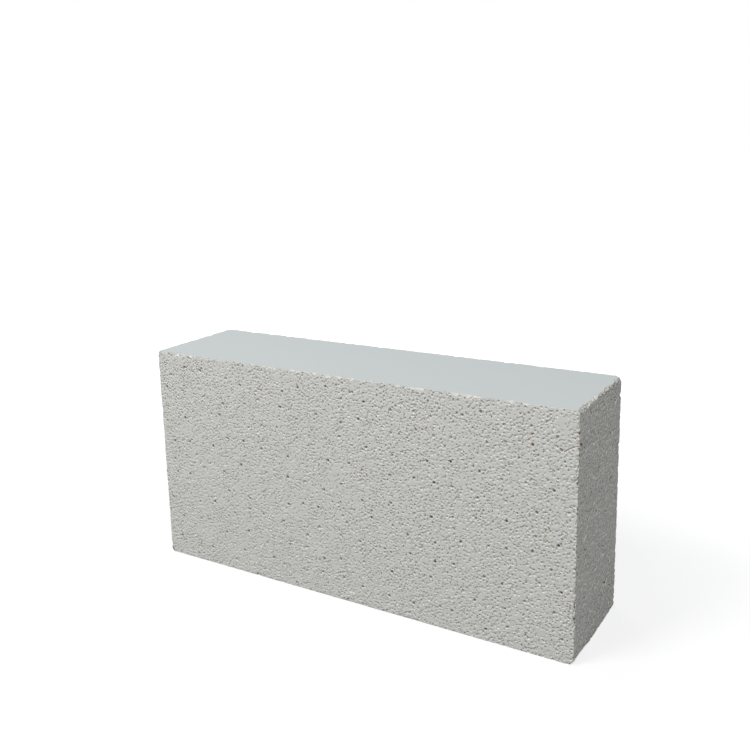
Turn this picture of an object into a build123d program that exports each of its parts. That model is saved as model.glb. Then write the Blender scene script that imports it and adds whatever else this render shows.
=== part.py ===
"""Insulating fire brick, standing on its long narrow side.

The brick is one fired block of lightweight refractory, cut and ground to size on all six faces.
The cut opened the bubbles that make it light: the two narrow faces are ground smooth, and the others
are full of pores, of which the solid has the largest, about one in each square of PORE_SPACING.
Handling has rubbed its edges and knocked a few shallow, rounded chips out of them.

Millimetres, +Z up. The origin is the middle of the face that the brick stands on.
X runs along the brick, Y through its thickness, and the large face at -Y is the front.
"""

import os
import random

from build123d import *

NODE = "fire_brick"

# Driving dimensions of the block
LENGTH = 250.0
THICKNESS = 64.0
HEIGHT = 124.0
EDGE_WEAR = 0.7

# A long chip in the top edge of the right end, close behind the front corner
FRONT_CHIP_LENGTH = 19.0
FRONT_CHIP_DEPTH = 1.7
FRONT_CHIP_INSET = 8.0

# A short chip further back in the same edge
BACK_CHIP_LENGTH = 11.0
BACK_CHIP_DEPTH = 1.0
BACK_CHIP_INSET = 38.0

# A chip in the top front edge, near the right end
BROW_CHIP_LENGTH = 12.0
BROW_CHIP_DEPTH = 0.9
BROW_CHIP_INSET = 52.0

# A long chip in the foot edge of the right end, from the front corner back
FOOT_CHIP_LENGTH = 46.0
FOOT_CHIP_DEPTH = 1.7
FOOT_CHIP_INSET = 3.0

# Two nicks in the upright front edge of the right end
NICK_LENGTH = 6.0
NICK_DEPTH = 1.0
UPPER_NICK_HEIGHT = 117.0
LOWER_NICK_HEIGHT = 21.0

# Corners that have lost their points: top right at the back, bottom left at the front
TOP_CORNER_CHIP_BREADTH = 7.0
TOP_CORNER_CHIP_DEPTH = 2.4
FOOT_CORNER_CHIP_BREADTH = 4.4
FOOT_CORNER_CHIP_DEPTH = 1.1

# The largest pores: pits with a few flat sides, each turned and placed at random in a square of its own
PORE_SPACING = 13.0
PORE_SCATTER = 4.0
PORE_BREADTH = 2.2
PORE_DEPTH = 0.8
PORE_TAPER = 30.0
PORE_SIDES = 5
PORE_SEED = 5

RIGHT = LENGTH / 2
LEFT = -LENGTH / 2
FRONT = -THICKNESS / 2
BACK = THICKNESS / 2


def worn_block():
    """The cut block, with every edge rubbed round by handling."""
    block = Box(LENGTH, THICKNESS, HEIGHT, align=(Align.CENTER, Align.CENTER, Align.MIN))
    return fillet(block.edges(), EDGE_WEAR)


def chip(edge_point, outward, breadth, depth):
    """The ball that knocks a shallow hollow, breadth across and depth deep, out of an edge or a corner.

    edge_point is where the unworn edge or corner was, and outward points from the brick to the open air there.
    """
    radius = (breadth**2 / 4 + depth**2) / (2 * depth)
    centre = Vector(edge_point) + Vector(outward).normalized() * (radius - depth)
    # The ball is turned so that its seam is in the open air and not in the hollow
    return Plane(centre, z_dir=outward) * Rot(0, -90, 0) * Sphere(radius)


def large_pores(face, width):
    """The pits of the largest pores of a face, which is given as a plane at its middle and is width across."""
    mouth = RegularPolygon(PORE_BREADTH / 2, PORE_SIDES)
    pit = extrude(mouth, PORE_DEPTH, dir=(0, 0, -1), taper=PORE_TAPER)
    chance = random.Random(PORE_SEED)
    pits = []
    for spot in GridLocations(PORE_SPACING, PORE_SPACING, int(width / PORE_SPACING), int(HEIGHT / PORE_SPACING)):
        across = chance.uniform(-PORE_SCATTER, PORE_SCATTER)
        up = chance.uniform(-PORE_SCATTER, PORE_SCATTER)
        turn = chance.uniform(0, 360)
        pits.append(face * spot * Pos(across, up) * Rot(0, 0, turn) * pit)
    return pits


def fire_brick():
    """The worn block with its chips and its largest pores taken out."""
    end_edge_out = (1, 0, 1)
    brow_out = (0, -1, 1)
    foot_edge_out = (1, 0, -1)
    upright_out = (1, -1, 0)
    chips = [
        chip((RIGHT, FRONT + FRONT_CHIP_INSET, HEIGHT), end_edge_out, FRONT_CHIP_LENGTH, FRONT_CHIP_DEPTH),
        chip((RIGHT, FRONT + BACK_CHIP_INSET, HEIGHT), end_edge_out, BACK_CHIP_LENGTH, BACK_CHIP_DEPTH),
        chip((RIGHT - BROW_CHIP_INSET, FRONT, HEIGHT), brow_out, BROW_CHIP_LENGTH, BROW_CHIP_DEPTH),
        chip((RIGHT, FRONT + FOOT_CHIP_INSET, 0), foot_edge_out, FOOT_CHIP_LENGTH, FOOT_CHIP_DEPTH),
        chip((RIGHT, FRONT, UPPER_NICK_HEIGHT), upright_out, NICK_LENGTH, NICK_DEPTH),
        chip((RIGHT, FRONT, LOWER_NICK_HEIGHT), upright_out, NICK_LENGTH, NICK_DEPTH),
        chip((RIGHT, BACK, HEIGHT), (1, 1, 1), TOP_CORNER_CHIP_BREADTH, TOP_CORNER_CHIP_DEPTH),
        chip((LEFT, FRONT, 0), (-1, -3, -1), FOOT_CORNER_CHIP_BREADTH, FOOT_CORNER_CHIP_DEPTH),
    ]
    middle = HEIGHT / 2
    faces = [
        (Plane((0, FRONT, middle), x_dir=(1, 0, 0), z_dir=(0, -1, 0)), LENGTH),
        (Plane((0, BACK, middle), x_dir=(-1, 0, 0), z_dir=(0, 1, 0)), LENGTH),
        (Plane((RIGHT, 0, middle), x_dir=(0, 1, 0), z_dir=(1, 0, 0)), THICKNESS),
        (Plane((LEFT, 0, middle), x_dir=(0, -1, 0), z_dir=(-1, 0, 0)), THICKNESS),
    ]
    pores = [pit for face, width in faces for pit in large_pores(face, width)]
    return worn_block() - chips - pores


def main():
    """Builds the brick and writes its STEP file."""
    brick = fire_brick().solid()
    brick.label = NODE
    os.makedirs("parts", exist_ok=True)
    export_step(brick, f"parts/{NODE}.step")
    size = brick.bounding_box().size
    print(f"{NODE}: {size.X:.2f} x {size.Y:.2f} x {size.Z:.2f} mm, {brick.volume / 1000:.1f} cm3")


if __name__ == "__main__":
    main()
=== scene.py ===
"""The looks of an insulating fire brick that stands on its long narrow side.

The brick is one closed mesh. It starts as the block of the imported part, with rubbed and crumbled
arrises and the same knocked-off chips, and its faces are then opened up by the burst bubbles of
the light refractory: the part's own large pores, thousands of smaller ones, and short grooves
where bubbles ran together. Only pores finer than those are left to bump.
Lengths are in millimetres while the mesh is worked out, and MM turns them into metres.
"""

import logging
import math
from collections.abc import Iterator
from dataclasses import dataclass, field
from enum import Enum
from random import Random

import bpy
import numpy as np
from mathutils import Matrix, Vector, noise
from mathutils.geometry import delaunay_2d_cdt
from mathutils.kdtree import KDTree


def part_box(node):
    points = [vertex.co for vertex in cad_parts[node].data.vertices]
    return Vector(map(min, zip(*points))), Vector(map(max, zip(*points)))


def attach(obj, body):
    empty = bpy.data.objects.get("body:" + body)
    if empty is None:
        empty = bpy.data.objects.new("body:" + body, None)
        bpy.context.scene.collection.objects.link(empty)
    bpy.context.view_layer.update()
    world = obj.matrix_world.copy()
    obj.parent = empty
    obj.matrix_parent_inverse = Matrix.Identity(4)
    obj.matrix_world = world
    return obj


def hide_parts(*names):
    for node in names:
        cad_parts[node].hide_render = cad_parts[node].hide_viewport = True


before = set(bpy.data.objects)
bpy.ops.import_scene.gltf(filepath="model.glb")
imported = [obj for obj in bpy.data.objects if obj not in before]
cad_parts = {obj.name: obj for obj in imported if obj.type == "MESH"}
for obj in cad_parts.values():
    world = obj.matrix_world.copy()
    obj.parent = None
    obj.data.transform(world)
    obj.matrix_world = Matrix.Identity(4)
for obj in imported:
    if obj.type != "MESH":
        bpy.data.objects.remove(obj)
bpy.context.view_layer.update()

LOG = logging.getLogger("fire_brick")

NODE = "fire_brick"
BODY = "root"
SLOT = "fired_clay"

MM = 0.001
IMAGE_PX = 750
SENSOR_MM = 36.0
SEED = 41
NET_TOLERANCE = 1e-7

Array = np.ndarray
Colour = tuple[float, float, float]


class Side(Enum):
    """The six faces of the brick: the axis each one looks along, and which way."""

    FRONT = (1, -1)
    BACK = (1, 1)
    LEFT = (0, -1)
    RIGHT = (0, 1)
    FOOT = (2, -1)
    TOP = (2, 1)

    @property
    def axis(self) -> int:
        """The axis that the face looks along."""
        return self.value[0]

    @property
    def sign(self) -> int:
        """Whether the face looks up or down its axis."""
        return self.value[1]

    @property
    def plane(self) -> list[int]:
        """The two axes that lie in the face."""
        return [axis for axis in range(3) if axis != self.axis]

    @property
    def mirrored(self) -> bool:
        """Whether the two axes in the face turn clockwise, seen from outside."""
        turns = -1 if self.axis == 1 else 1
        return turns * self.sign < 0


class PoreKind(Enum):
    """How a bubble was left when the face was cut."""

    LARGE = "large"
    OPEN = "open"
    GROOVE = "groove"


@dataclass(frozen=True)
class PoreForm:
    """The bowl of one kind of pore, and how many mesh points it gets.

    Attributes:
        radius: Smallest and largest radius at the rim.
        depth_share: Smallest and largest depth, as a share of the radius.
        steepness: Power of the bowl's section, higher for steeper walls and a flatter floor.
        shade: Smallest and largest share of the brown on its floor, partly painted shade.
        stretch: Longest to shortest width, at most.
        rim_points: Points round the rim.
        floor_points: Points round the floor, or 1 in its middle.
        floor_share: Where the floor's points lie, as a share of the radius.
    """

    radius: tuple[float, float]
    depth_share: tuple[float, float]
    steepness: float
    shade: tuple[float, float]
    stretch: float
    rim_points: int = 5
    floor_points: int = 1
    floor_share: float = 0.0


PORE_FORMS = {
    PoreKind.LARGE: PoreForm(
        radius=(1.10, 1.10),
        depth_share=(0.82, 0.82),
        steepness=3.0,
        shade=(0.4, 0.8),
        stretch=1.0,
        floor_points=5,
        floor_share=0.48,
    ),
    PoreKind.OPEN: PoreForm(
        radius=(0.64, 1.20),
        depth_share=(0.35, 0.62),
        steepness=1.6,
        shade=(0.38, 0.90),
        stretch=1.5,
    ),
    PoreKind.GROOVE: PoreForm(
        radius=(0.40, 0.62),
        depth_share=(0.7, 1.1),
        steepness=2.4,
        shade=(0.3, 0.6),
        stretch=1.2,
    ),
}


@dataclass(frozen=True)
class Skin:
    """How one pair of faces was left by cutting and grinding.

    Attributes:
        pitch: Least distance between two pores.
        open_share: Share of the pores that are open, where the face isn't smeared.
        groove_density: Grooves to a square millimetre.
        pore_scale: Size of its pores beside those of the large faces.
        pore_shade: Brown and painted shade in its pores, likewise; the dim ends get more.
        smeared: Share of the pores that dust and rubbing close in its smoothest patches.
        patch: Breadth of such a patch.
        grain: Strength of the finest pores, from 0 to 1.
    """

    pitch: float
    open_share: float
    groove_density: float
    pore_scale: float
    pore_shade: float
    smeared: float
    patch: float
    grain: float

    @property
    def smooth(self) -> bool:
        """Whether grinding has closed most of its pores."""
        return self.open_share < 1.0


BED_SKIN = Skin(
    pitch=1.74,
    open_share=1.0,
    groove_density=0.0030,
    pore_scale=1.0,
    pore_shade=1.0,
    smeared=0.25,
    patch=9.0,
    grain=1.0,
)
END_SKIN = Skin(
    pitch=2.15,
    open_share=1.0,
    groove_density=0.0030,
    pore_scale=1.28,
    # The ends' pores get more painted shade
    pore_shade=1.5,
    smeared=0.15,
    patch=8.0,
    grain=1.0,
)
NARROW_SKIN = Skin(
    pitch=3.6,
    open_share=0.01,
    groove_density=0.0002,
    pore_scale=0.8,
    pore_shade=1.0,
    smeared=0.5,
    patch=20.0,
    grain=0.03,
)

SKINS = {
    Side.FRONT: BED_SKIN,
    Side.BACK: BED_SKIN,
    Side.LEFT: END_SKIN,
    Side.RIGHT: END_SKIN,
    Side.FOOT: NARROW_SKIN,
    Side.TOP: NARROW_SKIN,
}


@dataclass(frozen=True)
class Ripple:
    """A smooth random rise and fall in space.

    Attributes:
        length: Rough distance from one crest to the next.
        start: Where in the noise it starts, so that two ripples differ.
    """

    length: float
    start: float

    def at(self, points: Array) -> Array:
        """Reads the ripple.

        Args:
            points: One point to a row.

        Returns:
            One number from about -1 to 1 for each point.
        """
        places = points / self.length + self.start
        return np.array([noise.noise(Vector(place)) for place in places])


def smooth_step(low: float, high: float, values: Array) -> Array:
    """Rises from 0 at low to 1 at high, with soft ends.

    Args:
        low: Value at and below which the result is 0.
        high: Value at and above which the result is 1.
        values: The numbers to map.

    Returns:
        One number from 0 to 1 for each value.
    """
    share = np.clip((values - low) / (high - low), 0.0, 1.0)
    return share * share * (3.0 - 2.0 * share)


def netted(spots: Array) -> Array:
    """Nets places in a face with well-shaped triangles.

    Args:
        spots: The places, one to a row.

    Returns:
        Three numbers of places for each triangle.
    """
    corners = [Vector(spot) for spot in spots]
    _, _, faces, sources, _, _ = delaunay_2d_cdt(corners, [], [], 0, NET_TOLERANCE)
    origin = np.array([numbers[0] for numbers in sources])
    return origin[np.array(faces)]


def ranged(
    tree: bpy.types.NodeTree,
    value: bpy.types.NodeSocket,
    reach: tuple[float, float],
    results: tuple[float, float],
) -> bpy.types.NodeSocket:
    """Adds a map from one range of values to another.

    Args:
        tree: The nodes to add it to.
        value: The value to map.
        reach: The values at its two ends.
        results: What they become.

    Returns:
        The socket with the result.
    """
    made = tree.nodes.new("ShaderNodeMapRange")
    made.inputs["From Min"].default_value = reach[0]
    made.inputs["From Max"].default_value = reach[1]
    made.inputs["To Min"].default_value = results[0]
    made.inputs["To Max"].default_value = results[1]
    tree.links.new(value, made.inputs["Value"])
    return made.outputs["Result"]


def reckoned(
    tree: bpy.types.NodeTree,
    operation: str,
    first: bpy.types.NodeSocket,
    second: bpy.types.NodeSocket,
) -> bpy.types.NodeSocket:
    """Adds a sum with two values.

    Args:
        tree: The nodes to add it to.
        operation: What is done with the values.
        first: The one value.
        second: The other one.

    Returns:
        The socket with the result.
    """
    made = tree.nodes.new("ShaderNodeMath")
    made.operation = operation
    tree.links.new(first, made.inputs[0])
    tree.links.new(second, made.inputs[1])
    return made.outputs[0]


def cleared(
    owner: bpy.types.Material | bpy.types.World,
    output: str,
) -> tuple[bpy.types.NodeTree, bpy.types.NodeSocket]:
    """Empties the nodes of a material or a world, apart from an output.

    Args:
        owner: The material or the world.
        output: Kind of its output node.

    Returns:
        The nodes, and the socket for what the surface or the air looks like.
    """
    owner.use_nodes = True
    tree = owner.node_tree
    tree.nodes.clear()
    return tree, tree.nodes.new(output).inputs["Surface"]


@dataclass
class Block:
    """The brick's outer block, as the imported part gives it.

    Attributes:
        low: Lowest corner.
        high: Highest corner.
        wear: Radius to which handling has rubbed the arrises.
        wear_swing: How much that radius rises and falls along them, as a share of it.
        wear_limits: Least and largest radius, as a share of it.
        wear_ripple: The rise and fall.
        corner_wear: Radius added at the eight corners.
        corner_reach: How far from a corner that is felt.
    """

    low: Array
    high: Array
    wear: float = 0.50
    wear_swing: float = 0.8
    wear_limits: tuple[float, float] = (0.4, 2.0)
    wear_ripple: Ripple = Ripple(6.0, 3.7)
    corner_wear: float = 0.12
    corner_reach: float = 2.5

    @property
    def size(self) -> Array:
        """Length, thickness and height."""
        return self.high - self.low

    def level(self, side: Side) -> float:
        """Where a face lies along its own axis."""
        return float((self.high if side.sign > 0 else self.low)[side.axis])

    def arrises(self) -> Iterator[tuple[int, Array]]:
        """The twelve arrises.

        Yields:
            The axis that the arris follows, and the way out of the brick across it.
        """
        for axis in range(3):
            across = [other for other in range(3) if other != axis]
            for first, second in ((-1, -1), (-1, 1), (1, -1), (1, 1)):
                outward = np.zeros(3)
                outward[across] = first, second
                yield axis, outward

    def on_arris(self, axis: int, outward: Array, shares: Array) -> Array:
        """Points along an arris.

        Args:
            axis: The axis that it follows.
            outward: The way out of the brick across it.
            shares: How far along it each point lies, from 0 to 1.

        Returns:
            Points in space, one to a row.
        """
        points = np.where(outward > 0, self.high, self.low) * np.ones((len(shares), 1))
        points[:, axis] = self.low[axis] + shares * self.size[axis]
        return points

    def on_side(self, side: Side, spots: Array) -> Array:
        """Points of a face from their places in it.

        Args:
            side: The face.
            spots: Places in the face, along its two axes.

        Returns:
            Points in space, one to a row.
        """
        points = np.empty((len(spots), 3))
        points[:, side.plane] = spots
        points[:, side.axis] = self.level(side)
        return points

    def corner_gap(self, points: Array) -> Array:
        """Distance from points to the nearest corner."""
        gaps = np.minimum(points - self.low, self.high - points)
        return np.linalg.norm(gaps, axis=1)

    def rubbed(self, points: Array) -> tuple[Array, Array]:
        """Moves points of the sharp block to the rubbed one.

        Args:
            points: Points on the six faces.

        Returns:
            The moved points, and the way out of the brick at each of them.
        """
        swing = 1.0 + self.wear_swing * self.wear_ripple.at(points)
        radius = self.wear * np.clip(swing, *self.wear_limits)
        radius += self.corner_wear * np.exp(-self.corner_gap(points) / self.corner_reach)
        radius = radius[:, None]
        core = np.clip(points, self.low + radius, self.high - radius)
        outward = points - core
        outward /= np.linalg.norm(outward, axis=1, keepdims=True)
        return core + radius * outward, outward


@dataclass(frozen=True)
class Chip:
    """A shallow rounded chip, knocked out of an arris or a corner.

    Attributes:
        place: Where the unworn edge was.
        outward: Way from the brick to the open air there.
        breadth: Width of the chip along the edge.
        depth: Depth of the chip, from the unworn edge.
        tone_and_shade: Share of the pores' colours on its face: a little gives the creamy tone of a
            fresh break, more gives brown painted shade.
        roughness: How far its crumbled face rises and falls.
        rough_depth: Depth at which it is fully rough.
        crumbs: That rise and fall.
    """

    place: Array
    outward: Array
    breadth: float
    depth: float
    tone_and_shade: float
    roughness: float
    rough_depth: float = 0.5
    crumbs: Ripple = Ripple(1.1, 11.3)

    @property
    def radius(self) -> float:
        """Radius of the ball that the chip follows."""
        return (self.breadth**2 / 4 + self.depth**2) / (2 * self.depth)

    @property
    def way(self) -> Array:
        """The outward way, one long."""
        return self.outward / np.linalg.norm(self.outward)

    @property
    def centre(self) -> Array:
        """Middle of that ball, out in the open air."""
        return self.place + self.way * (self.radius - self.depth)

    def cut(self, points: Array) -> Array:
        """Pushes the points that lie in the chip down to its face.

        Args:
            points: Points of the brick, which are changed in place.

        Returns:
            How far each point was pushed.
        """
        offset = points - self.centre
        along = offset @ self.way
        inside = self.radius**2 - np.einsum("ij,ij->i", offset, offset)
        hit = np.flatnonzero(inside > 0)
        depth = np.zeros(len(points))
        if len(hit):
            push = along[hit] + np.sqrt(along[hit] ** 2 + inside[hit])
            share = smooth_step(0.0, self.rough_depth, push)
            rough = self.roughness * share * self.crumbs.at(points[hit])
            depth[hit] = np.maximum(push + rough, 0.0)
            points[hit] -= depth[hit, None] * self.way
        return depth


@dataclass(frozen=True)
class Knock:
    """Where a knock took a chip out of the brick.

    Attributes:
        corner: The corner that its place is told from: which end of each axis.
        inset: How far it lies from that corner, along each axis.
        outward: Way from the brick to the open air.
        breadth: Width of the chip along the edge.
        depth: Depth of the chip, from the unworn edge.
        tone_and_shade: Share of the pores' colours on its face: a little gives the creamy tone of a
            fresh break, more gives brown painted shade.
        roughness: How far its crumbled face rises and falls.
    """

    corner: tuple[int, int, int]
    inset: tuple[float, float, float]
    outward: tuple[float, float, float]
    breadth: float
    depth: float
    tone_and_shade: float = 0.09
    roughness: float = 0.7

    def chip(self, block: Block) -> Chip:
        """The chip that the knock left in a block."""
        corner = np.where(np.array(self.corner) > 0, block.high, block.low)
        place = corner - np.array(self.corner) * np.array(self.inset)
        return Chip(place, np.array(self.outward), self.breadth, self.depth, self.tone_and_shade, self.roughness)


TOP_RIGHT_FRONT = (1, -1, 1)
TOP_RIGHT_BACK = (1, 1, 1)
FOOT_RIGHT_FRONT = (1, -1, -1)
FOOT_LEFT_FRONT = (-1, -1, -1)

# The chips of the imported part, then smaller nicks in the upright front arris of the right end
KNOCKS = (
    Knock(TOP_RIGHT_FRONT, (0.0, 8.0, 0.0), (1, 0, 1), 19.0, 1.7, roughness=1.2),
    Knock(TOP_RIGHT_FRONT, (0.0, 38.0, 0.0), (1, 0, 1), 11.0, 1.0, roughness=1.0),
    Knock(TOP_RIGHT_FRONT, (52.0, 0.0, 0.0), (0, -1, 1), 12.0, 0.9),
    Knock(FOOT_RIGHT_FRONT, (0.0, 3.0, 0.0), (1, 0, -1), 46.0, 1.7, roughness=0.2),
    Knock(TOP_RIGHT_FRONT, (0.0, 0.0, 7.0), (1, -1, 0), 6.0, 1.0),
    Knock(FOOT_RIGHT_FRONT, (0.0, 0.0, 21.0), (1, -1, 0), 6.0, 1.0),
    Knock(TOP_RIGHT_BACK, (0.0, 0.0, 0.0), (1, 1, 1), 7.0, 2.4),
    Knock(FOOT_LEFT_FRONT, (0.0, 0.0, 0.0), (-1, -3, -1), 4.4, 1.1, roughness=0.2),
    Knock(TOP_RIGHT_FRONT, (0.0, 0.0, 15.0), (1, -1, 0), 3.5, 0.8),
    Knock(TOP_RIGHT_FRONT, (0.0, 0.0, 27.0), (1, -1, 0), 4.0, 0.8),
)


@dataclass(frozen=True)
class CornerShade:
    """A dark brown spot at a corner of the brick: painted shade of the chipped notch there.

    Attributes:
        corner: The corner: which end of each axis.
        reach: Distances from it, along the foot, between which the brown fades out.
        rise: How much further it reaches upwards.
        strength: Share of brown at the corner itself.
    """

    corner: tuple[int, int, int]
    reach: tuple[float, float]
    rise: float
    strength: float

    def shade(self, points: Array, block: Block) -> Array:
        """Reads the painted shade.

        Args:
            points: Points of the sharp block.
            block: That block.

        Returns:
            The share of brown at each point.
        """
        away = points - np.where(np.array(self.corner) > 0, block.high, block.low)
        away[:, 2] /= self.rise
        full, none = self.reach
        return self.strength * smooth_step(none, full, np.linalg.norm(away, axis=1))


@dataclass
class Crumbling:
    """Small crumbs that handling has broken out of the arrises.

    Attributes:
        block: The block that lost them.
        random: Source of the random draws.
        rate: Crumbs to a millimetre of arris.
        foot_rate: The same round the foot, where the arrises are clean.
        top_rate: The same round the top face, where they are ragged.
        end_rate: The same between the top and the right end, the most crumbled arris.
        breadth: Smallest and largest breadth of a crumb.
        depth_share: Smallest and largest depth, as a share of the breadth.
        lean: How far a crumb may lean to one of the two faces.
        tone_and_shade: Smallest and largest share of the pores' colours on the face that it leaves,
            from the creamy tone of a fresh break to brown painted shade.
        roughness: How far the face that it leaves rises and falls.
    """

    block: Block
    random: np.random.Generator
    rate: float = 0.02
    foot_rate: float = 0.01
    top_rate: float = 0.10
    end_rate: float = 0.9
    breadth: tuple[float, float] = (1.6, 4.4)
    depth_share: tuple[float, float] = (0.20, 0.34)
    lean: float = 0.6
    tone_and_shade: tuple[float, float] = (0.0, 0.40)
    roughness: float = 0.35

    def chips(self) -> list[Chip]:
        """Breaks the crumbs out.

        Returns:
            One small chip for each crumb.
        """
        rates = {-1: self.foot_rate, 0: self.rate, 1: self.top_rate}
        made = []
        for axis, outward in self.block.arrises():
            rate = rates[int(outward[2])]
            if outward[2] > 0 and outward[0] > 0:
                rate = self.end_rate
            count = self.random.poisson(rate * self.block.size[axis])
            places = self.block.on_arris(axis, outward, self.random.uniform(size=count))
            for place in places:
                leaning = outward * self.random.uniform(1.0 - self.lean, 1.0 + self.lean, 3)
                breadth = self.random.uniform(*self.breadth)
                depth = breadth * self.random.uniform(*self.depth_share)
                # Some crumbs get a fresh break's creamy tone, others brown painted shade in their
                # hollows
                tone_and_shade = self.random.uniform(*self.tone_and_shade)
                made.append(Chip(place, leaning, breadth, depth, tone_and_shade, self.roughness))
        return made


@dataclass(frozen=True)
class Scratch:
    """A groove at a known place.

    Attributes:
        side: The face that it runs over.
        start: Its start, from the middle of the foot along the face's two axes.
        stop: Its end, likewise.
        bend: How far its middle lies off the straight line.
    """

    side: Side
    start: tuple[float, float]
    stop: tuple[float, float]
    bend: float

    def spots(self, step: float) -> Array:
        """Places along the scratch.

        Args:
            step: Distance from one to the next.

        Returns:
            Places in the face.
        """
        start, stop = np.array(self.start), np.array(self.stop)
        run = stop - start
        aside = np.array([-run[1], run[0]]) / np.linalg.norm(run)
        shares = np.linspace(0.0, 1.0, 1 + round(np.linalg.norm(run) / step))[:, None]
        # The bow is full at the middle, where four times a half of a half is one
        return start + shares * run + 4.0 * self.bend * shares * (1.0 - shares) * aside


@dataclass(frozen=True)
class LargePores:
    """The largest pores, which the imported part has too, each at random in a square of its own.

    Attributes:
        sides: The faces that have them.
        spacing: Side of a square.
        scatter: How far a pore may lie from the middle of its square, along each axis.
        seed: Start of the draws, which are the same on each face.
    """

    sides: tuple[Side, ...] = (Side.FRONT, Side.BACK, Side.LEFT, Side.RIGHT)
    spacing: float = 13.0
    scatter: float = 4.0
    seed: int = 5

    def on(self, side: Side, block: Block) -> list[tuple[Array, float]]:
        """The large pores of a face.

        Args:
            side: The face.
            block: The brick's block.

        Returns:
            The place of each pore in the face, and the way to its first corner, in radians.
        """
        if side not in self.sides:
            return []
        draw = Random(self.seed)
        middle = (block.low + block.high)[side.plane] / 2
        columns, rows = (int(length / self.spacing) for length in block.size[side.plane])
        hand = -1.0 if side.mirrored else 1.0
        made = []
        for column, row in np.ndindex(columns, rows):
            across = self.spacing * (column - (columns - 1) / 2)
            across += draw.uniform(-self.scatter, self.scatter)
            up = self.spacing * (row - (rows - 1) / 2)
            up += draw.uniform(-self.scatter, self.scatter)
            turn = math.radians(draw.uniform(0.0, 360.0))
            way = math.atan2(math.sin(turn), hand * math.cos(turn))
            made.append((middle + np.array([hand * across, up]), way))
        return made


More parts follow.
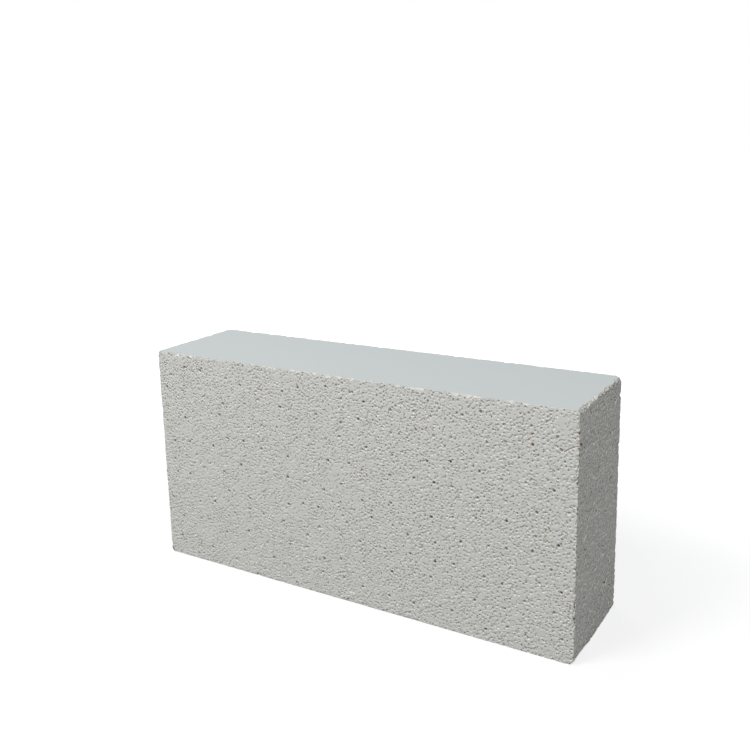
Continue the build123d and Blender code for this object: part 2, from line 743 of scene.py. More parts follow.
@dataclass
class PoreField:
    """All the pores of the brick, scattered over its faces.

    Attributes:
        block: The block that they open.
        random: Source of the random draws.
        large: The largest pores, which are placed first.
        throws: Throws for each bubble that has room on a face.
        margin: Distance that a bubble's middle keeps from an arris.
        size_bias: Shape of the spread of sizes, with most bubbles small.
        patch_starts: Starts of the broad and the fine ripple of the smeared patches.
        patch_fineness: How much finer the fine one is.
        patch_fine_share: How strong it is beside the broad one.
        patch_edge: Levels of the ripple between which a smeared patch begins and ends.
        dusty_depth: Share of its depth that a pore keeps where the face is closed.
        groove_links: Least number of bubbles in a groove, and the number that it stays under.
        groove_bend: How much a groove turns from one bubble to the next, in radians.
        groove_step: Smallest and largest step between them, in radii.
        scratch_size: Smallest and largest size of the bubbles along a scratch, from 0 to 1.
        tint_edge: Shares of the radius between which the brown and painted shade comes in.
        centres: Middle of each pore, on its face.
        sides: Face of each.
        kinds: Kind of each.
        radii: Radius of each, at the rim.
        depths: Depth of each.
        shades: Share of brown and painted shade on the floor of each.
        stretch_ways: Way in which each is narrowest.
        stretches: Longest to shortest width of each.
    """

    block: Block
    random: np.random.Generator
    large: LargePores = LargePores()
    throws: float = 14.0
    margin: float = 0.3
    size_bias: tuple[float, float] = (1.6, 2.4)
    patch_starts: tuple[float, float] = (27.1, 61.9)
    patch_fineness: float = 3.0
    patch_fine_share: float = 0.6
    patch_edge: tuple[float, float] = (-0.40, 0.10)
    dusty_depth: float = 0.4
    groove_links: tuple[int, int] = (2, 5)
    groove_bend: float = 0.45
    groove_step: tuple[float, float] = (1.0, 1.3)
    scratch_size: tuple[float, float] = (0.3, 0.8)
    tint_edge: tuple[float, float] = (1.0, 0.5)
    centres: list[Array] = field(default_factory=list)
    sides: list[Side] = field(default_factory=list)
    kinds: list[PoreKind] = field(default_factory=list)
    radii: list[float] = field(default_factory=list)
    depths: list[float] = field(default_factory=list)
    shades: list[float] = field(default_factory=list)
    stretch_ways: list[Array] = field(default_factory=list)
    stretches: list[float] = field(default_factory=list)

    def add(
        self,
        side: Side,
        spot: Array,
        kind: PoreKind,
        size: float,
        full: float = 1.0,
        turn: float | None = None,
    ) -> None:
        """Adds one pore.

        Args:
            side: The face that it opens.
            spot: Its place in the face.
            kind: Its kind.
            size: How large it is for its kind, from 0 to 1.
            full: Share of its depth that dust has left free.
            turn: The way to its first corner, or none for a random one.
        """
        form = PORE_FORMS[kind]
        skin = SKINS[side]
        smallest, largest = form.radius
        radius = skin.pore_scale * (smallest + (largest - smallest) * size)
        depth = full * radius * self.random.uniform(*form.depth_share)
        angle = self.random.uniform(0.0, math.tau) if turn is None else turn
        way = np.zeros(3)
        way[side.plane] = math.cos(angle), math.sin(angle)
        self.centres.append(self.block.on_side(side, spot[None])[0])
        self.sides.append(side)
        self.kinds.append(kind)
        self.radii.append(radius)
        self.depths.append(depth)
        self.shades.append(skin.pore_shade * self.random.uniform(*form.shade))
        self.stretch_ways.append(way)
        self.stretches.append(self.random.uniform(1.0, form.stretch))

    def bubbles(self, side: Side, taken: Array) -> Array:
        """Throws places for bubbles on a face, none too close to another.

        Args:
            side: The face.
            taken: Places that are in use already.

        Returns:
            The places that were free.
        """
        pitch = SKINS[side].pitch
        low = self.block.low[side.plane] + self.margin
        high = self.block.high[side.plane] - self.margin
        count = round(self.throws * float(np.prod(high - low)) / pitch**2)
        cells: dict[tuple[int, int], tuple[float, float]] = {}
        cell = pitch / math.sqrt(2.0)
        around = [(i, j) for i in range(-2, 3) for j in range(-2, 3)]
        for x, y in taken:
            cells[(int(x // cell), int(y // cell))] = (x, y)
        kept = []
        for x, y in self.random.uniform(low, high, (count, 2)):
            column, row = int(x // cell), int(y // cell)
            for i, j in around:
                other = cells.get((column + i, row + j))
                if other and (x - other[0]) ** 2 + (y - other[1]) ** 2 < pitch * pitch:
                    break
            else:
                cells[(column, row)] = (x, y)
                kept.append((x, y))
        return np.array(kept)

    def openness(self, side: Side, spots: Array) -> Array:
        """How open a face is at some places, from nearly 0 in a smeared patch to 1.

        Args:
            side: The face.
            spots: The places.

        Returns:
            One number for each place.
        """
        skin = SKINS[side]
        points = self.block.on_side(side, spots)
        broad_start, fine_start = self.patch_starts
        broad = Ripple(skin.patch, broad_start).at(points)
        fine = Ripple(skin.patch / self.patch_fineness, fine_start).at(points)
        open_share = smooth_step(*self.patch_edge, broad + self.patch_fine_share * fine)
        return 1.0 - skin.smeared * (1.0 - open_share)

    def scatter(self, side: Side) -> None:
        """Fills one face with large and small open pores and grooves.

        Args:
            side: The face.
        """
        skin = SKINS[side]
        large = self.large.on(side, self.block)
        for spot, turn in large:
            self.add(side, spot, PoreKind.LARGE, 1.0, turn=turn)
        taken = np.array([spot for spot, _ in large]).reshape(-1, 2)
        spots = self.bubbles(side, taken)
        openness = self.openness(side, spots)
        chances = self.random.uniform(size=len(spots))
        sizes = self.random.beta(*self.size_bias, len(spots))
        for spot, free, chance, size in zip(spots, openness, chances, sizes):
            if chance < skin.open_share * free:
                full = self.dusty_depth + (1.0 - self.dusty_depth) * free
                self.add(side, spot, PoreKind.OPEN, size, full)
        low = self.block.low[side.plane]
        high = self.block.high[side.plane]
        for _ in range(round(skin.groove_density * float(np.prod(high - low)))):
            self.add_groove(side, self.random.uniform(low, high))

    def add_groove(self, side: Side, start: Array) -> None:
        """Adds a short crooked groove, where bubbles ran together.

        Args:
            side: The face.
            start: Place of its first bubble.
        """
        low = self.block.low[side.plane]
        high = self.block.high[side.plane]
        heading = self.random.uniform(0.0, math.tau)
        size = self.random.uniform()
        spot = start
        for _ in range(self.random.integers(*self.groove_links)):
            if (spot < low).any() or (spot > high).any():
                break
            self.add(side, spot, PoreKind.GROOVE, size)
            heading += self.random.normal(0.0, self.groove_bend)
            step = self.radii[-1] * self.random.uniform(*self.groove_step)
            spot = spot + step * np.array([math.cos(heading), math.sin(heading)])

    def add_scratch(self, scratch: Scratch) -> None:
        """Adds a scratch, as a row of bubbles that ran together.

        Args:
            scratch: The scratch.
        """
        smallest, _ = PORE_FORMS[PoreKind.GROOVE].radius
        for spot in scratch.spots(smallest):
            size = self.random.uniform(*self.scratch_size)
            self.add(scratch.side, spot, PoreKind.GROOVE, size)

    def rings(self, pore: int) -> Array:
        """The mesh points of one pore, on the sharp block's face.

        Args:
            pore: Its number.

        Returns:
            Points in space, those on the floor first.
        """
        form = PORE_FORMS[self.kinds[pore]]
        way = self.stretch_ways[pore]
        aside = np.zeros(3)
        first, second = self.sides[pore].plane
        aside[first] = -way[second]
        aside[second] = way[first]
        rows = []
        for count, share in ((form.floor_points, form.floor_share), (form.rim_points, 1.0)):
            angles = np.arange(count) * math.tau / count
            reach = self.radii[pore] * share
            along = np.cos(angles)[:, None] * way / self.stretches[pore]
            across = np.sin(angles)[:, None] * aside
            rows.append(self.centres[pore] + reach * (along + across))
        return np.concatenate(rows)

    def sink(self, points: Array) -> tuple[Array, Array]:
        """How far the pores lower the surface.

        Args:
            points: Points on the sharp block.

        Returns:
            The depth at each point, and the share of brown and painted shade there.
        """
        tree = KDTree(len(points))
        for index, point in enumerate(points):
            tree.insert(point, index)
        tree.balance()
        depth = np.zeros(len(points))
        shade = np.zeros(len(points))
        for pore, radius in enumerate(self.radii):
            found = [index for _, index, _ in tree.find_range(self.centres[pore], radius)]
            if not found:
                continue
            offset = points[found] - self.centres[pore]
            along = offset @ self.stretch_ways[pore]
            squares = np.einsum("ij,ij->i", offset, offset)
            squares += (self.stretches[pore] ** 2 - 1.0) * along**2
            share = np.sqrt(squares) / radius
            form = PORE_FORMS[self.kinds[pore]]
            bowl = self.depths[pore] * np.maximum(1.0 - share**form.steepness, 0.0)
            depth[found] = np.maximum(depth[found], bowl)
            # Brown fills each pore's floor, partly as painted shade
            tint = self.shades[pore] * smooth_step(*self.tint_edge, share)
            shade[found] = np.maximum(shade[found], tint)
        return depth, shade


@dataclass
class BrickNet:
    """The points and triangles of the brick's skin.

    Attributes:
        block: The block under it.
        pores: The pores that open it.
        chips: The chips knocked out of it.
        random: Source of the random draws.
        edge_pitch: Distance between the points along an arris.
        edge_jitter: How far they stray along it, as a share of that.
        wear_rows: Distances of the rows of points that follow an arris.
        smooth_rows: More such rows on a smooth face, which keep its flat apart from the worn arris.
        row_spread: Where in its stretch of such a row a point may lie, as shares of it.
        row_swing: How far it strays across the row.
        chip_pitch: Distance between the points in and round a chip.
        chip_jitter: How far they stray, as a share of that.
        chip_rim: How far round a chip they reach, as a share of its breadth, and at most.
        least_gap: Points closer than this are left out.
        chip_gap: Points over the chips keep this far from the others.
        filler_pitch: Distance between the points that fill what is left of the faces.
        filler_spread: Where in its square such a point may lie, as shares of its side.
        filler_gap: These points keep this far from the others.
        points: All the points, on the sharp block.
        borders: Numbers of the points on the rim of each face.
        loose: Places of the pores' points in each face.
        faces: The triangles, as numbers of points.
        owners: Face in which each triangle lies.
        grain: Strength of the finest pores at each point.
    """

    block: Block
    pores: PoreField
    chips: list[Chip]
    random: np.random.Generator
    edge_pitch: float = 1.05
    edge_jitter: float = 0.25
    wear_rows: tuple[float, ...] = (0.4,)
    smooth_rows: tuple[float, ...] = (1.2, 2.3)
    row_spread: tuple[float, float] = (0.2, 0.8)
    row_swing: float = 0.12
    chip_pitch: float = 0.6
    chip_jitter: float = 0.3
    chip_rim: tuple[float, float] = (0.12, 0.8)
    least_gap: float = 0.24
    chip_gap: float = 0.40
    filler_pitch: float = 3.4
    filler_spread: tuple[float, float] = (0.3, 0.9)
    filler_gap: float = 1.3
    points: list[Array] = field(default_factory=list)
    borders: dict[Side, list[int]] = field(default_factory=dict)
    loose: dict[Side, list[Array]] = field(default_factory=dict)
    faces: list[Array] = field(default_factory=list)
    owners: list[Side] = field(default_factory=list)
    grain: dict[int, float] = field(default_factory=dict)

    def build(self) -> None:
        """Nets all six faces."""
        self.border_points()
        self.fold_rings()
        for side in Side:
            numbers, mine = self.triangles(side)
            self.faces.extend(mine)
            self.owners.extend([side] * len(mine))
            spots = np.array([self.points[number] for number in numbers])[:, side.plane]
            strengths = SKINS[side].grain * self.pores.openness(side, spots)
            for number, strength in zip(numbers, strengths):
                self.grain[number] = max(self.grain.get(number, 0.0), strength)

    def border_points(self) -> None:
        """Puts points on the eight corners and along the twelve arrises, which two faces share."""
        for axis, outward in self.block.arrises():
            count = round(self.block.size[axis] / self.edge_pitch)
            jitter = self.random.uniform(-self.edge_jitter, self.edge_jitter, count - 1)
            shares = (np.arange(1, count) + jitter) / count
            self.points.extend(self.block.on_arris(axis, outward, shares))
        for corner in np.ndindex(2, 2, 2):
            self.points.append(np.where(corner, self.block.high, self.block.low))
        for side in Side:
            level = self.block.level(side)
            self.borders[side] = [
                number for number, point in enumerate(self.points) if point[side.axis] == level
            ]

    def wear_points(self, side: Side) -> Array:
        """Rows of points close beside the four arrises of a face.

        Args:
            side: The face.

        Returns:
            Places in the face.
        """
        low = self.block.low[side.plane]
        high = self.block.high[side.plane]
        rows = []
        insets = self.wear_rows + (self.smooth_rows if SKINS[side].smooth else ())
        for inset in insets:
            for axis in range(2):
                length = high[axis] - low[axis] - 2 * inset
                count = round(length / self.edge_pitch)
                share = (np.arange(count) + self.random.uniform(*self.row_spread, count)) / count
                for level in (low[1 - axis] + inset, high[1 - axis] - inset):
                    row = np.empty((count, 2))
                    row[:, axis] = low[axis] + inset + share * length
                    swing = self.random.uniform(-self.row_swing, self.row_swing, count)
                    row[:, 1 - axis] = level + swing
                    rows.append(row)
        return np.concatenate(rows)

    def chip_points(self, side: Side) -> Array:
        """Close points over the chips that reach a face.

        Args:
            side: The face.

        Returns:
            Places in the face.
        """
        low = self.block.low[side.plane] + self.least_gap
        high = self.block.high[side.plane] - self.least_gap
        rim_share, rim_most = self.chip_rim
        found = [np.empty((0, 2))]
        for chip in self.chips:
            if chip.place[side.axis] != self.block.level(side):
                continue
            rim = min(chip.breadth * rim_share, rim_most)
            reach = chip.breadth / 2 + rim
            steps = np.arange(-reach, reach, self.chip_pitch)
            grid = np.stack(np.meshgrid(steps, steps), -1).reshape(-1, 2)
            jitter = self.random.uniform(-self.chip_jitter, self.chip_jitter, grid.shape)
            grid += jitter * self.chip_pitch
            spots = chip.place[side.plane] + grid
            spots = spots[((spots > low) & (spots < high)).all(axis=1)]
            offset = self.block.on_side(side, spots) - chip.centre
            found.append(spots[np.linalg.norm(offset, axis=1) < chip.radius + rim])
        return np.concatenate(found)

    def filler_points(self, side: Side) -> Array:
        """Points spread over the flat of a face, so that no triangle there is long.

        Args:
            side: The face.

        Returns:
            Places in the face.
        """
        low = self.block.low[side.plane]
        high = self.block.high[side.plane]
        rows = [np.arange(start, stop, self.filler_pitch) for start, stop in zip(low, high)]
        grid = np.stack(np.meshgrid(*rows), -1).reshape(-1, 2)
        return grid + self.random.uniform(*self.filler_spread, grid.shape) * self.filler_pitch

    def fold_rings(self) -> None:
        """Sorts the points of the pores by face, and folds those past an arris over it."""
        self.loose = {side: [] for side in Side}
        order = np.argsort([-depth for depth in self.pores.depths], kind="stable")
        for pore in order:
            side = self.pores.sides[pore]
            for point in self.pores.rings(pore):
                over = np.maximum(point - self.block.high, 0) - np.maximum(self.block.low - point, 0)
                past = np.flatnonzero(over)
                if len(past) > 1:
                    continue
                home = side
                if len(past) == 1:
                    axis = int(past[0])
                    spill = over[axis]
                    point[axis] -= spill
                    point[side.axis] -= side.sign * abs(spill)
                    home = Side((axis, 1 if spill > 0 else -1))
                self.loose[home].append(point[home.plane])

    def thinned(self, taken: Array, groups: list[tuple[Array, float]], side: Side) -> Array:
        """Leaves out points that come too close to earlier ones.

        Args:
            taken: Places that are already in use.
            groups: Places to add, in order, each lot with the gap that it keeps.
            side: The face.

        Returns:
            The places that were kept.
        """
        low = self.block.low[side.plane] + self.least_gap
        high = self.block.high[side.plane] - self.least_gap
        cells: dict[tuple[int, int], list[tuple[float, float]]] = {}
        size = max(gap for _, gap in groups)

        def put(x: float, y: float) -> None:
            """Notes a place as used."""
            cells.setdefault((int(x // size), int(y // size)), []).append((x, y))

        for x, y in taken:
            put(x, y)
        kept = []
        for spots, gap in groups:
            inside = ((spots > low) & (spots < high)).all(axis=1)
            for x, y in spots[inside]:
                column, row = int(x // size), int(y // size)
                near = (
                    other
                    for i in (column - 1, column, column + 1)
                    for j in (row - 1, row, row + 1)
                    for other in cells.get((i, j), ())
                )
                if all((x - a) ** 2 + (y - b) ** 2 > gap * gap for a, b in near):
                    put(x, y)
                    kept.append((x, y))
        return np.array(kept)

    def triangles(self, side: Side) -> tuple[list[int], Array]:
        """Nets one face, and adds its inner points to the mesh.

        Args:
            side: The face.

        Returns:
            The numbers of the face's points, and its triangles, turned outwards.
        """
        border = self.borders[side]
        edge = np.array([self.points[index] for index in border])[:, side.plane]
        rings = np.array(self.loose[side]).reshape(-1, 2)
        groups = [
            (self.wear_points(side), self.least_gap),
            (self.chip_points(side), self.chip_gap),
            (rings, self.least_gap),
            (self.filler_points(side), self.filler_gap),
        ]
        inner = self.thinned(edge, groups, side)
        numbers = border + list(range(len(self.points), len(self.points) + len(inner)))
        self.points.extend(self.block.on_side(side, inner))
        faces = np.array(numbers)[netted(np.concatenate([edge, inner]))]
        return numbers, faces[:, ::-1] if side.mirrored else faces


@dataclass(frozen=True)
class FiredClay:
    """Matt off-white light refractory, with warm brown in its pores that is partly painted shade.

    The finest pores are cut bubbles too small for the mesh, and are bump.

    Attributes:
        pale: Colour of the flat stretches between the pores.
        cream: Colour of the walls of the pores: a warm cream, lighter than the flats as a painted
            highlight on their lit lips.
        ground_with_painted_light: Colour of the smooth narrow faces, painted darker and cooler than the
            flats for the sky light on the top.
        brown: Colour at the bottom of the pores, partly their own brown and partly painted shade.
        roughness: Roughness of the bare surface.
        gloss: Strength of its sheen.
        bubbles: Fine bubbles to a metre.
        bubble_edge: Reach of a fine bubble's floor and of its rim, as shares of their spacing.
        bubble_depth: Depth of the fine pores, in metres.
        bubble_shade: Share of brown in them, painted shade that their bump can't cast.
        wall_edge: Shades of a pore between which the flat turns into its cream wall, which is lightened
            as a painted highlight.
        core_edge: Shades of a pore between which the wall turns into its brown core, partly painted
            shade.
        porous_grain: Strengths of the fine pores between which a smooth face turns into a porous one.
    """

    pale: Colour = (0.708, 0.713, 0.680)
    cream: Colour = (0.785, 0.765, 0.705)
    ground_with_painted_light: Colour = (0.578, 0.613, 0.609)
    brown: Colour = (0.20, 0.14, 0.10)
    roughness: float = 0.92
    gloss: float = 0.25
    bubbles: float = 650.0
    bubble_edge: tuple[float, float] = (0.05, 0.45)
    bubble_depth: float = 0.0004
    bubble_shade: float = 0.3
    wall_edge: tuple[float, float] = (0.0, 0.2)
    core_edge: tuple[float, float] = (0.25, 0.78)
    porous_grain: tuple[float, float] = (0.05, 0.40)

    def material(self) -> bpy.types.Material:
        """Makes the material."""
        made = bpy.data.materials.new(SLOT)
        tree, surface = cleared(made, "ShaderNodeOutputMaterial")
        shader = tree.nodes.new("ShaderNodeBsdfPrincipled")
        shader.inputs["Roughness"].default_value = self.roughness
        shader.inputs["Specular IOR Level"].default_value = self.gloss
        tree.links.new(shader.outputs["BSDF"], surface)

        place = tree.nodes.new("ShaderNodeTexCoord").outputs["Object"]
        cells = tree.nodes.new("ShaderNodeTexVoronoi")
        cells.inputs["Scale"].default_value = self.bubbles
        tree.links.new(place, cells.inputs["Vector"])
        reach = cells.outputs["Distance"]
        grain = self.value(tree, "grain")

        # From the pale flats to the cream walls of the pores, lightened as a painted highlight, and to
        # the colour of the smooth faces, darkened and cooled as painted light
        sunk = self.value(tree, "pore_shade")
        wall = ranged(tree, sunk, self.wall_edge, (0.0, 1.0))
        toned = self.mixed(tree, wall, self.pale, self.cream)
        porous = ranged(tree, grain, self.porous_grain, (0.0, 1.0))
        # The smooth faces take a colour with painted light: darker and cooler, as the top is lit
        faced = self.mixed(tree, porous, self.ground_with_painted_light, toned)

        # Brown in the pores of the mesh, partly painted shade, and painted shade in the fine ones
        floor = ranged(tree, reach, self.bubble_edge, (self.bubble_shade, 0.0))
        fine = reckoned(tree, "MULTIPLY", floor, grain)
        core = ranged(tree, sunk, self.core_edge, (0.0, 1.0))
        shade = reckoned(tree, "MAXIMUM", core, fine)
        tree.links.new(self.mixed(tree, shade, faced, self.brown), shader.inputs["Base Color"])

        bump = tree.nodes.new("ShaderNodeBump")
        bump.inputs["Distance"].default_value = self.bubble_depth
        rise = ranged(tree, reach, self.bubble_edge, (0.0, 1.0))
        tree.links.new(reckoned(tree, "MULTIPLY", rise, grain), bump.inputs["Height"])
        tree.links.new(bump.outputs["Normal"], shader.inputs["Normal"])
        return made

    @staticmethod
    def value(tree: bpy.types.NodeTree, name: str) -> bpy.types.NodeSocket:
        """Reads a value of the mesh.

        Args:
            tree: The material's nodes.
            name: The value's name.

        Returns:
            The socket with the value.
        """
        made = tree.nodes.new("ShaderNodeAttribute")
        made.attribute_name = name
        return made.outputs["Fac"]

    @staticmethod
    def mixed(
        tree: bpy.types.NodeTree,
        share: bpy.types.NodeSocket,
        first: Colour | bpy.types.NodeSocket,
        second: Colour | bpy.types.NodeSocket,
    ) -> bpy.types.NodeSocket:
        """Mixes two colours.

        Args:
            tree: The material's nodes.
            share: Share of the second one.
            first: The one colour, or a socket with it.
            second: The other one, likewise.

        Returns:
            The socket with the mixed colour.
        """
        made = tree.nodes.new("ShaderNodeMix")
        made.data_type = "RGBA"
        tree.links.new(share, made.inputs["Factor"])
        for name, colour in (("A", first), ("B", second)):
            if isinstance(colour, tuple):
                made.inputs[name].default_value = (*colour, 1.0)
            else:
                tree.links.new(colour, made.inputs[name])
        return made.outputs["Result"]


@dataclass
class FireBrick:
    """The whole brick: one fired block with its chips and pores.

    Attributes:
        finish: What it is made of.
        knocks: Where chips were knocked out of it.
        scratches: Grooves at known places.
        corner_shades: Dark spots at its corners, painted shade of their chipped notches.
        fresh_depth: Depth at which the face of a chip is all fresh.
        fresh_wipe: Share of the shade of the pores that a fresh face loses.
        swell: Height of the low unevenness of the open-pored faces.
        swells: That unevenness.
        sheet: Side of the square sheet on which the faces are laid out for colour.
        sheet_gap: Room between two faces on it.
    """

    finish: FiredClay
    knocks: tuple[Knock, ...] = KNOCKS
    scratches: tuple[Scratch, ...] = (
        Scratch(Side.FRONT, (118.2, 103.8), (125.0, 107.6), 0.5),
        Scratch(Side.RIGHT, (7.5, 21.6), (15.5, 20.4), 0.4),
    )
    corner_shades: tuple[CornerShade, ...] = (CornerShade(FOOT_LEFT_FRONT, (2.0, 2.9), 1.6, 0.7),)
    fresh_depth: float = 0.3
    fresh_wipe: float = 0.5
    swell: float = 0.16
    swells: Ripple = Ripple(1.5, 5.2)
    sheet: float = 394.0
    sheet_gap: float = 4.0

    def block(self) -> Block:
        """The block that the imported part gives."""
        low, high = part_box(NODE)
        return Block(np.array(low) / MM, np.array(high) / MM)

    def sheet_corner(self, side: Side, block: Block) -> Array:
        """Where a face starts on the colour sheet.

        Args:
            side: The face.
            block: The brick's block.

        Returns:
            Its lowest corner on the sheet.
        """
        length, thickness, height = block.size
        gap = self.sheet_gap
        beside = length + 2 * gap
        second = height + 2 * gap
        third = second + height + gap
        fourth = third + thickness + gap
        corners = {
            Side.FRONT: (gap, gap),
            Side.RIGHT: (beside, gap),
            Side.BACK: (gap, second),
            Side.LEFT: (beside, second),
            Side.TOP: (gap, third),
            Side.FOOT: (gap, fourth),
        }
        return np.array(corners[side])

    def shaped(self, net: BrickNet) -> tuple[Array, Array, Array]:
        """Takes the flat net to the worn, chipped and pored brick.

        Args:
            net: The net over the sharp block.

        Returns:
            The points, and the brown and painted shade and the strength of the fine grain at each.
        """
        flat = np.array(net.points)
        places, outward = net.block.rubbed(flat)
        depth, shade = net.pores.sink(flat)
        grain = np.array([net.grain[number] for number in range(len(flat))])
        depth += self.swell * grain * (1.0 + self.swells.at(flat)) / 2
        places -= depth[:, None] * outward
        for chip in net.chips:
            cut = chip.cut(places)
            fresh = smooth_step(0.0, self.fresh_depth, cut)
            # A chip's fresh face takes its own creamy tone or brown painted shade
            shade = np.maximum(shade * (1.0 - self.fresh_wipe * fresh), chip.tone_and_shade * fresh)
            grain = np.maximum(grain, fresh)
        # Painted shade in the chipped notches at the corners
        for tone_and_shade in self.corner_shades:
            shade = np.maximum(shade, tone_and_shade.shade(flat, net.block))
        return places, shade, grain

    def build(self) -> bpy.types.Object:
        """Makes the brick's mesh and its object.

        Returns:
            The finished object.
        """
        draw = np.random.default_rng(SEED)
        block = self.block()
        pores = PoreField(block, draw)
        for side in Side:
            pores.scatter(side)
        for scratch in self.scratches:
            pores.add_scratch(scratch)
        chips = [knock.chip(block) for knock in self.knocks] + Crumbling(block, draw).chips()
        LOG.info("pores: %d, chips and crumbs: %d", len(pores.radii), len(chips))
        net = BrickNet(block, pores, chips, draw)
        net.build()
        places, shade, grain = self.shaped(net)
        mesh = bpy.data.meshes.new(NODE)
        mesh.from_pydata(places * MM, [], net.faces)
        mesh.polygons.foreach_set("use_smooth", [False] * len(net.faces))
        for name, values in (("pore_shade", shade), ("grain", grain)):
            layer = mesh.attributes.new(name, "FLOAT", "POINT")
            layer.data.foreach_set("value", values)
        self.lay_out(mesh, net)
        mesh.update()
        made = bpy.data.objects.new("brick_body", mesh)
        bpy.context.scene.collection.objects.link(made)
        LOG.info("%s: %d points, %d triangles", made.name, len(places), len(net.faces))
        return made

    def lay_out(self, mesh: bpy.types.Mesh, net: BrickNet) -> None:
        """Lays the six faces side by side on the colour sheet.

        Args:
            mesh: The brick's mesh.
            net: The net that it was made from.
        """
        block = net.block
        layer = mesh.uv_layers.new(name="OFBake")
        corners = np.empty(len(mesh.loops), dtype=np.int64)
        mesh.loops.foreach_get("vertex_index", corners)
        points = np.array(net.points)[corners]
        spots = np.empty((len(corners), 2))
        sides = np.repeat(np.array([list(Side).index(side) for side in net.owners]), 3)
        for number, side in enumerate(Side):
            mine = sides == number
            across = side.plane
            spot = points[mine][:, across] - block.low[across]
            if side.mirrored:
                spot[:, 0] = block.size[across[0]] - spot[:, 0]
            spots[mine] = self.sheet_corner(side, block) + spot
        layer.uv.foreach_set("vector", (spots / self.sheet).ravel())

    def dress(self, made: bpy.types.Object) -> None:
        """Gives the brick its finish and its place in the frame.

        Args:
            made: The brick.
        """
        made.data.materials.append(self.finish.material())
        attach(made, BODY)
        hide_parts(NODE)


@dataclass(frozen=True)
class Viewpoint:
    """Where the brick is seen from.

    Attributes:
        azimuth: Turn of the camera to the right of the front face, in degrees.
        elevation: Height of the camera over the level, in degrees.
        roll: Tilt of the picture, in degrees.
        origin: The brick's origin as the camera sees it: to the right, down and ahead.
        focal_px: Focal length in pixels of the picture.
        level_px: Row of the picture that the camera points at.
        nearest: Least distance at which it sees a thing, in metres.
    """

    azimuth: float = 31.0675
    elevation: float = 11.9959
    roll: float = -1.2887
    origin: tuple[float, float, float] = (1.4465, 144.0103, 513.6777)
    focal_px: float = 911.5578
    level_px: float = 320.0
    nearest: float = 0.01

    def build(self) -> bpy.types.Object:
        """Makes the camera.

        Returns:
            The camera, set as the scene's own.
        """
        turn, rise = math.radians(self.azimuth), math.radians(self.elevation)
        back = Vector((
            math.sin(turn) * math.cos(rise),
            -math.cos(turn) * math.cos(rise),
            math.sin(rise),
        ))
        right = (-back).cross(Vector((0.0, 0.0, 1.0))).normalized()
        up = back.cross(right)
        tilt = Matrix.Rotation(math.radians(self.roll), 3, back)
        right, up = tilt @ right, tilt @ up
        across, down, ahead = self.origin
        place = (-across * right + down * up + ahead * back) * MM
        data = bpy.data.cameras.new("camera")
        data.sensor_width = SENSOR_MM
        data.lens = self.focal_px / IMAGE_PX * SENSOR_MM
        data.shift_y = (self.level_px - IMAGE_PX / 2) / IMAGE_PX
        data.clip_start = self.nearest
        made = bpy.data.objects.new("camera", data)
        made.matrix_world = Matrix.Translation(place) @ Matrix((right, up, back)).transposed().to_4x4()
        bpy.context.scene.collection.objects.link(made)
        bpy.context.scene.camera = made
        return made


@dataclass(frozen=True)
class Softbox:
    """A large soft lamp that looks at the brick.

    Attributes:
        name: Its name.
        place: Where it hangs, in metres.
        breadth: Side of its square face, in metres.
        power: Its power, in watts.
    """

    name: str
    place: tuple[float, float, float]
    breadth: float
    power: float

    def build(self, target: Vector) -> None:
        """Hangs the lamp.

        Args:
            target: What it looks at.
        """
        data = bpy.data.lights.new(self.name, "AREA")
        data.size = self.breadth
        data.energy = self.power
        made = bpy.data.objects.new(self.name, data)
        made.location = self.place
        way = target - Vector(self.place)
        made.rotation_euler = way.to_track_quat("-Z", "Y").to_euler()
        made.visible_camera = False
        bpy.context.scene.collection.objects.link(made)


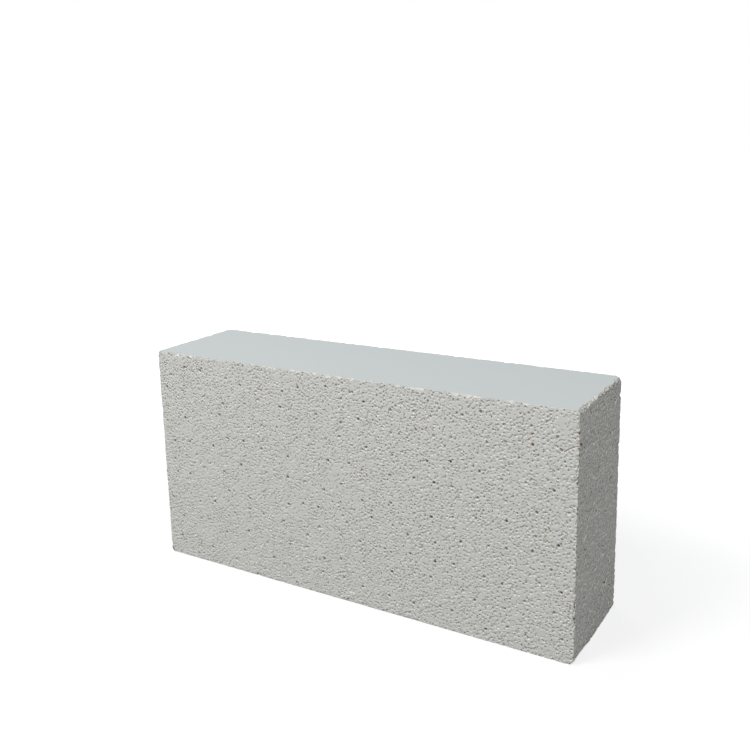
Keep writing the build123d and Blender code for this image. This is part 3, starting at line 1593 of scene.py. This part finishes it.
@dataclass(frozen=True)
class Studio:
    """A pale floor under plain soft light.

    Attributes:
        floor_size: Side of the floor, in metres.
        floor_colour: What the floor sends back of the light.
        floor_lift: Glow of the floor to the camera alone, by the brick and far from it.
        floor_reach: Distances from the brick between which that glow rises, in metres.
        sky: Strength of the soft light from the level and from straight above.
        sky_colour: Its colour.
        aim: What the lamps look at, in metres.
        lamps: The soft lamps.
    """

    floor_size: float = 12.0
    floor_colour: Colour = (0.30, 0.30, 0.30)
    floor_lift: tuple[float, float] = (0.74, 1.0)
    floor_reach: tuple[float, float] = (0.15, 0.40)
    sky: tuple[float, float] = (0.05, 0.30)
    sky_colour: Colour = (0.95, 1.0, 1.03)
    aim: tuple[float, float, float] = (0.0, 0.0, 0.06)
    lamps: tuple[Softbox, ...] = (
        Softbox("key_softbox", (-0.66, -1.00, 1.17), 0.7, 16.2),
        Softbox("end_softbox", (0.62, -0.62, 1.15), 0.7, 6.8),
        Softbox("back_softbox", (-0.75, 0.95, 0.45), 0.7, 4.5),
    )

    def build(self) -> None:
        """Lays the floor, hangs the lamps and lights the air."""
        scene = bpy.context.scene
        scene.view_settings.view_transform = "Standard"
        half = self.floor_size / 2
        mesh = bpy.data.meshes.new("floor")
        corners = [(-half, -half, 0.0), (half, -half, 0.0), (half, half, 0.0), (-half, half, 0.0)]
        mesh.from_pydata(corners, [], [(0, 1, 2, 3)])
        floor = bpy.data.objects.new("floor", mesh)
        scene.collection.objects.link(floor)
        mesh.materials.append(self.floor_material())
        for lamp in self.lamps:
            lamp.build(Vector(self.aim))
        self.build_world()

    @staticmethod
    def seen_rays(tree: bpy.types.NodeTree) -> bpy.types.NodeSocket:
        """Adds a value that is 1 for rays from the camera, and for mirrored and see-through ones.

        Args:
            tree: The nodes to add it to.

        Returns:
            The socket with the value.
        """
        path = tree.nodes.new("ShaderNodeLightPath")
        seen = path.outputs["Is Camera Ray"]
        for name in ("Is Glossy Ray", "Is Transmission Ray"):
            seen = reckoned(tree, "MAXIMUM", seen, path.outputs[name])
        return seen

    def floor_material(self) -> bpy.types.Material:
        """Makes the floor's pale material, which keeps shadows."""
        made = bpy.data.materials.new("floor")
        tree, surface = cleared(made, "ShaderNodeOutputMaterial")
        matt = tree.nodes.new("ShaderNodeBsdfDiffuse")
        matt.inputs["Color"].default_value = (*self.floor_colour, 1.0)
        distance = tree.nodes.new("ShaderNodeVectorMath")
        distance.operation = "LENGTH"
        place = tree.nodes.new("ShaderNodeTexCoord").outputs["Object"]
        tree.links.new(place, distance.inputs[0])
        lift = ranged(tree, distance.outputs["Value"], self.floor_reach, self.floor_lift)
        glow = tree.nodes.new("ShaderNodeEmission")
        strength = reckoned(tree, "MULTIPLY", self.seen_rays(tree), lift)
        tree.links.new(strength, glow.inputs["Strength"])
        both = tree.nodes.new("ShaderNodeAddShader")
        tree.links.new(matt.outputs[0], both.inputs[0])
        tree.links.new(glow.outputs[0], both.inputs[1])
        tree.links.new(both.outputs[0], surface)
        return made

    def build_world(self) -> None:
        """Makes the air: white to the camera, and a soft sky as light."""
        world = bpy.data.worlds.new("studio")
        bpy.context.scene.world = world
        tree, surface = cleared(world, "ShaderNodeOutputWorld")
        way = tree.nodes.new("ShaderNodeSeparateXYZ")
        tree.links.new(tree.nodes.new("ShaderNodeTexCoord").outputs["Generated"], way.inputs[0])
        sky = tree.nodes.new("ShaderNodeBackground")
        sky.inputs["Color"].default_value = (*self.sky_colour, 1.0)
        tree.links.new(ranged(tree, way.outputs["Z"], (0.0, 1.0), self.sky), sky.inputs["Strength"])
        white = tree.nodes.new("ShaderNodeBackground")
        white.inputs["Color"].default_value = (1.0, 1.0, 1.0, 1.0)
        air = tree.nodes.new("ShaderNodeMixShader")
        tree.links.new(self.seen_rays(tree), air.inputs[0])
        tree.links.new(sky.outputs[0], air.inputs[1])
        tree.links.new(white.outputs[0], air.inputs[2])
        tree.links.new(air.outputs[0], surface)


def main() -> None:
    """Builds the brick, the studio and the camera, in that order."""
    logging.basicConfig(level=logging.INFO, format="%(name)s: %(message)s")
    brick = FireBrick(FiredClay())
    made = brick.build()
    brick.dress(made)
    LOG.info("dressed: %s", made.name)
    Studio().build()
    LOG.info("studio: floor and lamps")
    camera = Viewpoint().build()
    LOG.info("camera: %s", [round(value, 4) for value in camera.location])


if __name__ == "__main__":
    main()
